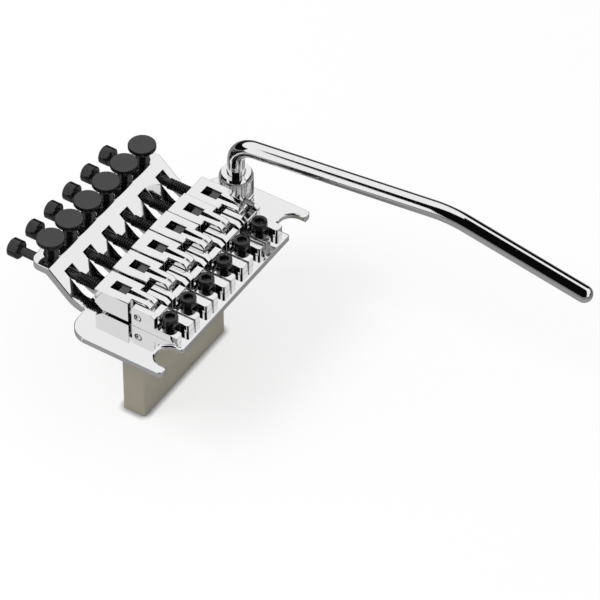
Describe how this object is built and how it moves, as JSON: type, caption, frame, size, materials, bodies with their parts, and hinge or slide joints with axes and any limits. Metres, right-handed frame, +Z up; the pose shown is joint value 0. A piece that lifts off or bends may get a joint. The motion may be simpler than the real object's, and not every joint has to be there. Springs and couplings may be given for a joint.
{
  "type": "guitar tremolo bridge",
  "caption": "Double-locking guitar tremolo bridge: knife-edge plate with tilting string saddles, fine tuners, lock screws, sustain block and a swivelling arm.",
  "frame": {"origin": "midway between the two knife edges, on the plate's top face", "axes": "+X to the arm side, +Y to the fine tuners at the rear, +Z up out of the plate"},
  "size_m": [0.0987, 0.177, 0.0696],
  "materials": {
    "chrome": "polished chrome plate",
    "black_steel": "black oxide, satin",
    "clamp_steel": "dark hardened steel",
    "nickel_block": "matte nickel plate on brass",
    "nylon": "natural nylon"
  },
  "bodies": {
    "bridge": {"base_plate": "chrome", "sustain_block": "nickel_block", "block_screws": "black_steel", "hold_down_screws": "black_steel", "arm_socket": "chrome", "socket_nut": "chrome", "arm_washer_lower": "nylon"},
    "arm": {"tremolo_arm": "chrome"},
    "collar": {"arm_collar": "chrome", "arm_washer_upper": "nylon"},
    "saddle_1_foot": {"saddle_base_1": "chrome", "saddle_pin_1": "chrome"},
    "saddle_1_head": {"saddle_body_1": "chrome"},
    "clamp_1": {"clamp_block_1": "clamp_steel"},
    "lock_1": {"lock_screw_1": "black_steel"},
    "tuner_1": {"fine_tuner_1": "black_steel"},
    "saddle_2_foot": {"saddle_base_2": "chrome", "saddle_pin_2": "chrome"},
    "saddle_2_head": {"saddle_body_2": "chrome"},
    "clamp_2": {"clamp_block_2": "clamp_steel"},
    "lock_2": {"lock_screw_2": "black_steel"},
    "tuner_2": {"fine_tuner_2": "black_steel"},
    "saddle_3_foot": {"saddle_base_3": "chrome", "saddle_pin_3": "chrome"},
    "saddle_3_head": {"saddle_body_3": "chrome"},
    "clamp_3": {"clamp_block_3": "clamp_steel"},
    "lock_3": {"lock_screw_3": "black_steel"},
    "tuner_3": {"fine_tuner_3": "black_steel"},
    "saddle_4_foot": {"saddle_base_4": "chrome", "saddle_pin_4": "chrome"},
    "saddle_4_head": {"saddle_body_4": "chrome"},
    "clamp_4": {"clamp_block_4": "clamp_steel"},
    "lock_4": {"lock_screw_4": "black_steel"},
    "tuner_4": {"fine_tuner_4": "black_steel"},
    "saddle_5_foot": {"saddle_base_5": "chrome", "saddle_pin_5": "chrome"},
    "saddle_5_head": {"saddle_body_5": "chrome"},
    "clamp_5": {"clamp_block_5": "clamp_steel"},
    "lock_5": {"lock_screw_5": "black_steel"},
    "tuner_5": {"fine_tuner_5": "black_steel"},
    "saddle_6_foot": {"saddle_base_6": "chrome", "saddle_pin_6": "chrome"},
    "saddle_6_head": {"saddle_body_6": "chrome"},
    "clamp_6": {"clamp_block_6": "clamp_steel"},
    "lock_6": {"lock_screw_6": "black_steel"},
    "tuner_6": {"fine_tuner_6": "black_steel"}
  },
  "joints": [
    {"name": "arm_swing", "type": "hinge", "parent": "bridge", "child": "arm", "pos_m": [0.0393, 0.019, 0], "axis": [0, 0, 1], "continuous": true},
    {"name": "collar_turn", "type": "hinge", "parent": "bridge", "child": "collar", "pos_m": [0.0393, 0.019, 0], "axis": [0, 0, 1], "range_deg": [-180, 180]},
    {"name": "intonation_1", "type": "slide", "parent": "bridge", "child": "saddle_1_foot", "axis": [0, 1, 0], "range_m": [-0.002, 0.002]},
    {"name": "fine_tuner_1", "type": "slide", "parent": "bridge", "child": "tuner_1", "axis": [0, 0, 1], "range_m": [-0.0015, 0.0003]},
    {"name": "saddle_tilt_1", "type": "hinge", "parent": "saddle_1_foot", "child": "saddle_1_head", "pos_m": [-0.02675, 0.01106, 0.00444], "axis": [1, 0, 0], "range_deg": [-2.31, 0.47]},
    {"name": "string_lock_1", "type": "slide", "parent": "saddle_1_head", "child": "lock_1", "axis": [0, 1, 0], "range_m": [-0.0003, 0.0015]},
    {"name": "clamp_slide_1", "type": "slide", "parent": "saddle_1_head", "child": "clamp_1", "axis": [0, 1, 0], "range_m": [-0.0003, 0.0015]},
    {"name": "intonation_2", "type": "slide", "parent": "bridge", "child": "saddle_2_foot", "axis": [0, 1, 0], "range_m": [-0.002, 0.002]},
    {"name": "fine_tuner_2", "type": "slide", "parent": "bridge", "child": "tuner_2", "axis": [0, 0, 1], "range_m": [-0.0015, 0.0003]},
    {"name": "saddle_tilt_2", "type": "hinge", "parent": "saddle_2_foot", "child": "saddle_2_head", "pos_m": [-0.01605, 0.01106, 0.00444], "axis": [1, 0, 0], "range_deg": [-2.31, 0.47]},
    {"name": "string_lock_2", "type": "slide", "parent": "saddle_2_head", "child": "lock_2", "axis": [0, 1, 0], "range_m": [-0.0003, 0.0015]},
    {"name": "clamp_slide_2", "type": "slide", "parent": "saddle_2_head", "child": "clamp_2", "axis": [0, 1, 0], "range_m": [-0.0003, 0.0015]},
    {"name": "intonation_3", "type": "slide", "parent": "bridge", "child": "saddle_3_foot", "axis": [0, 1, 0], "range_m": [-0.002, 0.002]},
    {"name": "fine_tuner_3", "type": "slide", "parent": "bridge", "child": "tuner_3", "axis": [0, 0, 1], "range_m": [-0.0015, 0.0003]},
    {"name": "saddle_tilt_3", "type": "hinge", "parent": "saddle_3_foot", "child": "saddle_3_head", "pos_m": [-0.00535, 0.01106, 0.00444], "axis": [1, 0, 0], "range_deg": [-2.31, 0.47]},
    {"name": "string_lock_3", "type": "slide", "parent": "saddle_3_head", "child": "lock_3", "axis": [0, 1, 0], "range_m": [-0.0003, 0.0015]},
    {"name": "clamp_slide_3", "type": "slide", "parent": "saddle_3_head", "child": "clamp_3", "axis": [0, 1, 0], "range_m": [-0.0003, 0.0015]},
    {"name": "intonation_4", "type": "slide", "parent": "bridge", "child": "saddle_4_foot", "axis": [0, 1, 0], "range_m": [-0.002, 0.002]},
    {"name": "fine_tuner_4", "type": "slide", "parent": "bridge", "child": "tuner_4", "axis": [0, 0, 1], "range_m": [-0.0015, 0.0003]},
    {"name": "saddle_tilt_4", "type": "hinge", "parent": "saddle_4_foot", "child": "saddle_4_head", "pos_m": [0.00535, 0.01106, 0.00444], "axis": [1, 0, 0], "range_deg": [-2.31, 0.47]},
    {"name": "string_lock_4", "type": "slide", "parent": "saddle_4_head", "child": "lock_4", "axis": [0, 1, 0], "range_m": [-0.0003, 0.0015]},
    {"name": "clamp_slide_4", "type": "slide", "parent": "saddle_4_head", "child": "clamp_4", "axis": [0, 1, 0], "range_m": [-0.0003, 0.0015]},
    {"name": "intonation_5", "type": "slide", "parent": "bridge", "child": "saddle_5_foot", "axis": [0, 1, 0], "range_m": [-0.002, 0.002]},
    {"name": "fine_tuner_5", "type": "slide", "parent": "bridge", "child": "tuner_5", "axis": [0, 0, 1], "range_m": [-0.0015, 0.0003]},
    {"name": "saddle_tilt_5", "type": "hinge", "parent": "saddle_5_foot", "child": "saddle_5_head", "pos_m": [0.01605, 0.01106, 0.00444], "axis": [1, 0, 0], "range_deg": [-2.31, 0.47]},
    {"name": "string_lock_5", "type": "slide", "parent": "saddle_5_head", "child": "lock_5", "axis": [0, 1, 0], "range_m": [-0.0003, 0.0015]},
    {"name": "clamp_slide_5", "type": "slide", "parent": "saddle_5_head", "child": "clamp_5", "axis": [0, 1, 0], "range_m": [-0.0003, 0.0015]},
    {"name": "intonation_6", "type": "slide", "parent": "bridge", "child": "saddle_6_foot", "axis": [0, 1, 0], "range_m": [-0.002, 0.002]},
    {"name": "fine_tuner_6", "type": "slide", "parent": "bridge", "child": "tuner_6", "axis": [0, 0, 1], "range_m": [-0.0015, 0.0003]},
    {"name": "saddle_tilt_6", "type": "hinge", "parent": "saddle_6_foot", "child": "saddle_6_head", "pos_m": [0.02675, 0.01106, 0.00444], "axis": [1, 0, 0], "range_deg": [-2.31, 0.47]},
    {"name": "string_lock_6", "type": "slide", "parent": "saddle_6_head", "child": "lock_6", "axis": [0, 1, 0], "range_m": [-0.0003, 0.0015]},
    {"name": "clamp_slide_6", "type": "slide", "parent": "saddle_6_head", "child": "clamp_6", "axis": [0, 1, 0], "range_m": [-0.0003, 0.0015]}
  ],
  "couplings": [
    {"joint": "saddle_tilt_1", "follows": "fine_tuner_1", "rad_per_m": 26.709},
    {"joint": "clamp_slide_1", "follows": "string_lock_1", "ratio": 1},
    {"joint": "saddle_tilt_2", "follows": "fine_tuner_2", "rad_per_m": 26.709},
    {"joint": "clamp_slide_2", "follows": "string_lock_2", "ratio": 1},
    {"joint": "saddle_tilt_3", "follows": "fine_tuner_3", "rad_per_m": 26.709},
    {"joint": "clamp_slide_3", "follows": "string_lock_3", "ratio": 1},
    {"joint": "saddle_tilt_4", "follows": "fine_tuner_4", "rad_per_m": 26.709},
    {"joint": "clamp_slide_4", "follows": "string_lock_4", "ratio": 1},
    {"joint": "saddle_tilt_5", "follows": "fine_tuner_5", "rad_per_m": 26.709},
    {"joint": "clamp_slide_5", "follows": "string_lock_5", "ratio": 1},
    {"joint": "saddle_tilt_6", "follows": "fine_tuner_6", "rad_per_m": 26.709},
    {"joint": "clamp_slide_6", "follows": "string_lock_6", "ratio": 1}
  ]
}
